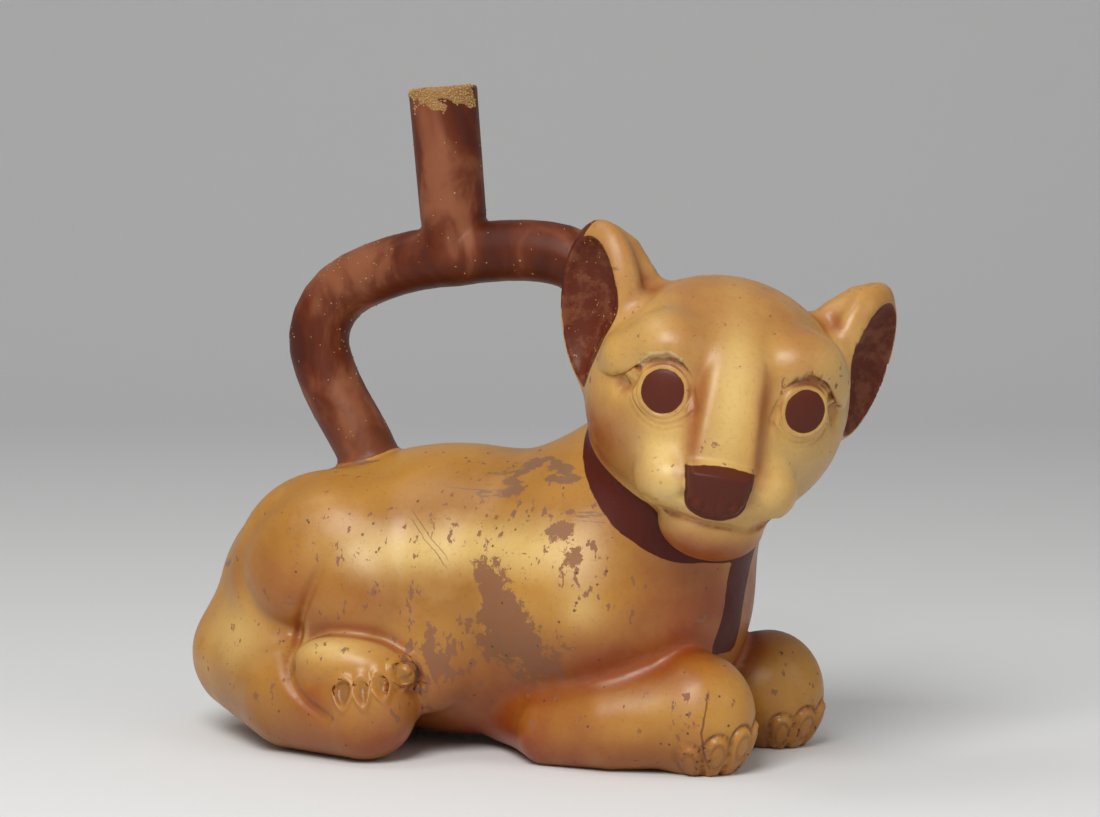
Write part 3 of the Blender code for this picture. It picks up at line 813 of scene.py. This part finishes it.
# Colours of the clay, of its slips, of what lies on it, and of painted shade, highlights and sheen
CREAM = srgb(220, 188, 116)
OCHRE = srgb(184, 132, 54)
OCHRE_DEEP = srgb(158, 106, 38)
SHADE_ORANGE = srgb(138, 60, 10)
CREASE_SHADE_AND_SPECKS = srgb(92, 38, 10)
LOST = srgb(136, 84, 52)
MAUVE = srgb(124, 88, 66)
PIT_AND_GROOVE_SHADE = srgb(80, 44, 24)
STIRRUP = srgb(94, 38, 14)
PALE_SHEEN_AND_WEAR = srgb(138, 84, 56)
STIRRUP_DARK = srgb(72, 26, 10)
COLLAR = srgb(74, 20, 6)
FEATURE = srgb(84, 34, 20)
EAR = srgb(92, 36, 16)
CLAY = srgb(180, 130, 84)
WHITISH = srgb(200, 172, 126)
EARTH = srgb(150, 112, 66)


def share_of(value, amount):
    """Part of a value."""
    return maths("MULTIPLY", value, amount, True)


def swing(pattern, amount):
    """Pattern made to swing by an amount to either side of 0."""
    return maths("MULTIPLY", maths("SUBTRACT", pattern, 0.5), amount)


def hairline(value, at, width, core):
    """Thin line where a value is at a place, full within its core and gone past its width."""
    return fade(maths("ABSOLUTE", maths("SUBTRACT", value, at)), width, core)


forward, leftward, height_up = (node("SeparateXYZ", i, {0: place}) for i in range(3))
large = cloud(17, 3, 0.5, warp=0.4)
medium = cloud(70, 5, 0.6, shift=3.0)
grain = cloud(700, 5, 0.65)
ragged = cloud(150, 9, 0.72, shift=7.0)

colour = blend(fade(large, 0.35, 0.65), OCHRE_DEEP, OCHRE)
on_head = told("head")
colour = blend(share_of(on_head, 0.3), colour, CREAM)
# Painted highlights in cream, with some cream at random
painted_highlight = maths("ADD", told("painted_highlight"), fade(medium, 0.35, 0.75, -0.15, 0.2))
colour = blend(share_of(painted_highlight, 0.8), colour, CREAM)
# Painted shade in orange-brown under and between parts, in part pooled slip, with some at random
painted_shade = maths("ADD", told("painted_shade"), fade(medium, 0.3, 0.7, -0.16, 0.16))
colour = blend(share_of(painted_shade, 0.85), colour, SHADE_ORANGE)
# Painted shade in orange-brown in the hollows and deep brown in the creases, by how open the clay is
open_share = told("open")
colour = blend(fade(open_share, 0.85, 0.4, 0, 0.7), colour, SHADE_ORANGE)
colour = blend(fade(open_share, 0.45, 0.1, 0, 0.8), colour, CREASE_SHADE_AND_SPECKS)
colour = blend(fade(grain, 0.5, 0.85, 0, 0.3), colour, CREASE_SHADE_AND_SPECKS)

# Streaks of lost slip along the back, and flakes and the large ragged patch on the flank
streaks = cloud(75, 7, 0.65, stretch=(0.3, 0.8, 1.5), shift=1.0, warp=0.3)
streaked = maths("ADD", streaks, maths("MULTIPLY", told("streaked"), 0.2))
colour = blend(fade(streaked, 0.665, 0.685, 0, 0.85), colour, MAUVE)
flakes = cloud(210, 5, 0.6, stretch=(1.3, 1, 0.75), shift=5.0)
flaked = maths("ADD", flakes, maths("MULTIPLY", told("flaked"), 0.13))
flaked = fade(flaked, 0.675, 0.69)
lost = fade(maths("ADD", told("lost_slip"), swing(ragged, 4.0)), 0.62, 0.68)
lost = maths("MAXIMUM", lost, flaked)
lost_tint = blend(fade(grain, 0.4, 0.65), LOST, MAUVE)
colour = blend(share_of(lost, 0.9), colour, lost_tint)

# Two fine scratches on the flank, where x and z add up to a value, and a crack down the near forepaw
SCRATCH_LINES = (0.045, 0.0475)
CRACK_LINE = 0.0712
strays = swing(cloud(90, 3, 0.6, shift=9.0), 0.004)
near_side = fade(leftward, -0.02, -0.03)
sloping = maths("ADD", maths("ADD", forward, height_up), strays)
for line in SCRATCH_LINES:
    mark = maths("MULTIPLY", hairline(sloping, line, 0.0004, 0.0001), fade(forward, -0.037, -0.033))
    mark = maths("MULTIPLY", mark, fade(forward, -0.018, -0.022))
    colour = blend(share_of(maths("MULTIPLY", mark, near_side), 0.55), colour, PIT_AND_GROOVE_SHADE)
mark = hairline(maths("ADD", forward, strays), CRACK_LINE, 0.0005, 0.00015)
mark = maths("MULTIPLY", mark, fade(height_up, 0.030, 0.027))
mark = maths("MULTIPLY", mark, fade(leftward, -0.038, -0.041))
colour = blend(share_of(mark, 0.75), colour, PIT_AND_GROOVE_SHADE)

# Small dark pits, painted shade in the toes' grooves, darker hind claws, and bare clay on the brows' chipped
# edges
PITS_PER_METRE = 330.0
from_middle, picked = (node("TexVoronoi", i, {"Vector": place, "Scale": PITS_PER_METRE}) for i in range(2))
pits = maths("MULTIPLY", fade(from_middle, 0.2, 0.12), fade(maths("ADD", picked, medium), 1.28, 1.3))
pits = maths("MULTIPLY", pits, fade(on_head, 0, 1, 1, 0.4))
colour = blend(share_of(pits, 0.85), colour, PIT_AND_GROOVE_SHADE)
# Painted shade in the toes' grooves and between them, and darker hind claws
colour = blend(share_of(told("lined"), 0.75), colour, PIT_AND_GROOVE_SHADE)
chipped = fade(maths("ADD", told("chipped"), swing(ragged, 2.6)), 0.45, 0.75)
colour = blend(share_of(chipped, 0.8), colour, WHITISH)

# Dark slips: stirrup and spout, collar, pupils and nose, and ear cups
wobble = swing(cloud(260, 3, 0.6), 0.7)
# Stirrup: mottled, with a painted sheen in pale patches and on its lower limbs; ear cups: worn pale patches
sheen_mottle = cloud(48, 4, 0.55, stretch=(1, 1, 0.55), shift=2.0, warp=0.5)
stirrup_tint = blend(fade(sheen_mottle, 0.34, 0.52), STIRRUP_DARK, STIRRUP)
stirrup_tint = blend(fade(sheen_mottle, 0.47, 0.64, 0, 0.8), stirrup_tint, PALE_SHEEN_AND_WEAR)
stirrup_tint = blend(fade(height_up, 0.118, 0.088, 0, 0.6), stirrup_tint, PALE_SHEEN_AND_WEAR)
ear_tint = blend(fade(ragged, 0.45, 0.62, 0, 0.5), EAR, PALE_SHEEN_AND_WEAR)
dark = told("inner")
for name, tint in (("stirrup_slip", stirrup_tint), ("collar_slip", COLLAR), ("feature_slip", FEATURE),
                   ("ear_slip", ear_tint)):
    edge = fade(maths("ADD", told(name), wobble), -0.15, 0.15)
    colour = blend(edge, colour, tint)
    dark = maths("MAXIMUM", dark, edge)
deposit_edge = fade(maths("ADD", told("deposit"), swing(ragged, 2.2)), 0.5, 0.62)
colour = blend(share_of(deposit_edge, 0.85), colour, EARTH)
colour = blend(told("inner"), colour, CLAY)
tree.links.new(colour, surface.inputs["Base Color"])

# Gloss of the burnish, duller on the dark slips, where it is worn or in a crease, and fine bumps
rough = fade(medium, 0.3, 0.7, 0.34, 0.44)
rough = maths("ADD", rough, maths("MULTIPLY", dark, 0.06))
rough = maths("ADD", rough, maths("MULTIPLY", maths("MAXIMUM", lost, chipped), 0.3))
rough = maths("ADD", rough, fade(open_share, 0.6, 0.2, 0, 0.25))
tree.links.new(rough, surface.inputs["Roughness"])
tree.links.new(fade(dark, 0, 1, 0.5, 0.22), surface.inputs["Specular IOR Level"])
raised = maths("ADD", maths("MULTIPLY", grain, 0.35), maths("MULTIPLY", lost, -0.6))
raised = maths("SUBTRACT", raised, pits)
raised = maths("ADD", raised, maths("MULTIPLY", medium, 1.2))
bump = node("Bump", 0, {"Height": raised, "Strength": 0.35, "Distance": 0.0003})
tree.links.new(bump, surface.inputs["Normal"])
mesh.materials.clear()
mesh.materials.append(slip)
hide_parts("vessel")
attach(vessel, "root")


# Crumbs of pale deposit. On the real pot they are burial earth and salts, stuck in a ragged band under the
# spout's rim and scattered over the stirrup's back limb and one ear's cup, where they cling to the slip.
CRUMBS_FROM = 0.02


def plain(name, colour, roughness):
    """Even matt material."""
    material = bpy.data.materials.new(name)
    material.use_nodes = True
    shader = material.node_tree.nodes["Principled BSDF"]
    shader.inputs["Base Color"].default_value = colour
    shader.inputs["Roughness"].default_value = roughness
    return material


def crumbs_tree(material):
    """Geometry Nodes that scatter angular crumbs over a mesh, thicker where its attribute is higher."""
    tree = bpy.data.node_groups.new("crumbs", "GeometryNodeTree")
    tree.interface.new_socket("Geometry", in_out="INPUT", socket_type="NodeSocketGeometry")
    tree.interface.new_socket("Geometry", in_out="OUTPUT", socket_type="NodeSocketGeometry")
    for name, kind in (("Density", "Float"), ("Crumb radius", "Float"), ("Seed", "Int")):
        tree.interface.new_socket(name, in_out="INPUT", socket_type="NodeSocket" + kind)

    def add(kind, inputs=(), **settings):
        """New node with its settings, and its inputs given as values or other nodes' outputs."""
        made = tree.nodes.new(kind)
        for key, value in settings.items():
            setattr(made, key, value)
        for key, value in dict(inputs).items():
            if isinstance(value, bpy.types.NodeSocket):
                tree.links.new(value, made.inputs[key])
            else:
                made.inputs[key].default_value = value
        return made

    given = add("NodeGroupInput").outputs
    share = add("GeometryNodeInputNamedAttribute", {"Name": "crumbs"}).outputs["Attribute"]
    density = add("ShaderNodeMath", {0: share, 1: given["Density"]}, operation="MULTIPLY").outputs[0]
    wanted = {"Mesh": given["Geometry"], "Density": density, "Seed": given["Seed"]}
    scattered = add("GeometryNodeDistributePointsOnFaces", wanted).outputs["Points"]
    wanted = {"Radius": given["Crumb radius"], "Subdivisions": 1}
    crumb = add("GeometryNodeMeshIcoSphere", wanted).outputs["Mesh"]
    wanted = {"Max": (6.28,) * 3, "Seed": given["Seed"]}
    spin = add("FunctionNodeRandomValue", wanted, data_type="FLOAT_VECTOR").outputs[0]
    wanted = {"Min": (0.35, 0.35, 0.3), "Max": (1.25, 1.1, 0.7)}
    shape = add("FunctionNodeRandomValue", wanted, data_type="FLOAT_VECTOR").outputs[0]
    wanted = {"Points": scattered, "Instance": crumb, "Rotation": spin, "Scale": shape}
    placed = add("GeometryNodeInstanceOnPoints", wanted).outputs["Instances"]
    real = add("GeometryNodeRealizeInstances", {"Geometry": placed}).outputs["Geometry"]
    wanted = {"Geometry": real, "Material": material}
    add("NodeGroupOutput", {"Geometry": add("GeometryNodeSetMaterial", wanted).outputs["Geometry"]})
    return tree


def crumbs(name, share, density, radius, seed):
    """Crumbs over the part of the skin where they have a share."""
    bm = bmesh.new()
    bm.from_mesh(vessel.data)
    bm.verts.ensure_lookup_table()
    bare = [bm.verts[i] for i in np.flatnonzero(share <= CRUMBS_FROM)]
    bmesh.ops.delete(bm, geom=bare, context="VERTS")
    piece = bpy.data.meshes.new(name)
    bm.to_mesh(piece)
    bm.free()
    for old in list(piece.attributes):
        if old.name in skin_numbers:
            piece.attributes.remove(old)
    store(piece, "crumbs", share[share > CRUMBS_FROM])
    obj = mesh_object(name, piece)
    grown = obj.modifiers.new("crumbs", "NODES")
    grown.node_group = scatter
    wanted = {"Density": density, "Crumb radius": radius, "Seed": seed}
    for item in scatter.interface.items_tree:
        if item.in_out == "INPUT" and item.name in wanted:
            grown[item.identifier] = wanted[item.name]
    bake(obj)
    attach(obj, "root")
    return obj


scatter = crumbs_tree(plain("pale_earth", srgb(168, 132, 84), 0.85))
skin_numbers = {a.name for a in vessel.data.attributes if a.domain == "POINT" and a.data_type == "FLOAT"}
crumbs("rim_deposit", deposit, density=1.7e6, radius=0.0005, seed=4)

# Specks on the stirrup's back limb, fewer over its top, and in the cup of the ear at the picture's left
x, y, z = p.T
on_limb = ramp(-x, 48, 66) * ramp(z, 92, 112) * ramp(172 - z, 0, 8)
on_limb *= 0.15 + 0.85 * ramp(lumps(p, 6.0, 1.0), 0.1, 0.7)
on_limb += 0.12 * ramp(z, 150, 160)
in_cup = ramp(inside_paint["ear_slip"], 0.5, 2) * ramp(-head_place(p)[:, 1], 30, 40)
in_cup *= 0.3 + 0.5 * ramp(lumps(p, 4, 3), -0.2, 0.6)
specked = np.where(outer & (below_rim > 12), np.maximum(on_limb, in_cup), 0)
crumbs("stirrup_specks", specked, density=7e4, radius=0.0004, seed=9)


# Floor, plain and pale, with a sweep behind, not part of the pot
FLOOR_FRONT, FLOOR_BACK, HALF_WIDTH = -3.0, 1.2, 4
SWEEP_RADIUS, SWEEP_STEPS, WALL_TOP = 1.0, 12, 4.0
AZIMUTH, HEIGHT = math.radians(22), math.radians(5)
profile = [(FLOOR_FRONT, 0.0), (FLOOR_BACK, 0.0)]
for step in range(1, SWEEP_STEPS + 1):
    rise = math.radians(90 * step / SWEEP_STEPS)
    profile.append((FLOOR_BACK + SWEEP_RADIUS * math.sin(rise), SWEEP_RADIUS * (1 - math.cos(rise))))
profile.append((FLOOR_BACK + SWEEP_RADIUS, WALL_TOP))
away = Vector((-math.sin(AZIMUTH), math.cos(AZIMUTH), 0))
sideways = Vector((math.cos(AZIMUTH), math.sin(AZIMUTH), 0))
corners = [away * d + sideways * w + Vector((0, 0, h)) for d, h in profile for w in (-HALF_WIDTH, HALF_WIDTH)]
faces = [(i, i + 1, i + 3, i + 2) for i in range(0, len(corners) - 2, 2)]
floor_mesh = bpy.data.meshes.new("floor")
floor_mesh.from_pydata(corners, [], faces)
floor_mesh.shade_smooth()
floor_mesh.materials.append(plain("floor_paper", srgb(222, 224, 226), 0.9))
floor = mesh_object("floor", floor_mesh)

# Soft studio light: a key over the near flank, weak ones before the animal and over its rump, and a grey room
AIM = Vector((0, 0, 0.1))
WARM_WHITE = (1, 0.98, 0.95)


def soft_light(name, azimuth, elevation, distance, size, power):
    """Square soft light at a bearing and height round the pot, turned towards it."""
    a, e = math.radians(azimuth), math.radians(elevation)
    light = bpy.data.lights.new(name, "AREA")
    light.size, light.energy, light.color = size, power, WARM_WHITE
    lamp = bpy.data.objects.new(name, light)
    way = Vector((math.sin(a) * math.cos(e), -math.cos(a) * math.cos(e), math.sin(e)))
    lamp.location = AIM + way * distance
    lamp.rotation_euler = way.to_track_quat("Z", "Y").to_euler()
    bpy.context.scene.collection.objects.link(lamp)


soft_light("key", azimuth=4, elevation=42, distance=1.3, size=0.6, power=13.5)
soft_light("fill", azimuth=75, elevation=25, distance=1.6, size=0.9, power=2.5)
soft_light("top", azimuth=-70, elevation=65, distance=1.6, size=0.6, power=3)
world = bpy.data.worlds.new("room")
bpy.context.scene.world = world
world.use_nodes = True
world.node_tree.nodes["Background"].inputs["Color"].default_value = (*WARM_WHITE, 1)
world.node_tree.nodes["Background"].inputs["Strength"].default_value = 0.35
bpy.context.scene.view_settings.view_transform = "Standard"

# Camera at the photograph's angle: 22 degrees towards the animal's front and 5 above the floor
DISTANCE = 1.240
PIXEL = 0.000339
PHOTO_WIDTH = 1100
SENSOR = 36
TARGET = Vector((0, 0, 0.115))
lens = bpy.data.cameras.new("camera")
camera = bpy.data.objects.new("camera", lens)
bpy.context.scene.collection.objects.link(camera)
back = Vector((math.sin(AZIMUTH) * math.cos(HEIGHT), -math.cos(AZIMUTH) * math.cos(HEIGHT), math.sin(HEIGHT)))
camera.location = TARGET + back * DISTANCE
camera.rotation_euler = back.to_track_quat("Z", "Y").to_euler()
lens.sensor_width = SENSOR
lens.lens = SENSOR * DISTANCE / (PIXEL * PHOTO_WIDTH)
lens.clip_start = 0.01
bpy.context.scene.camera = camera
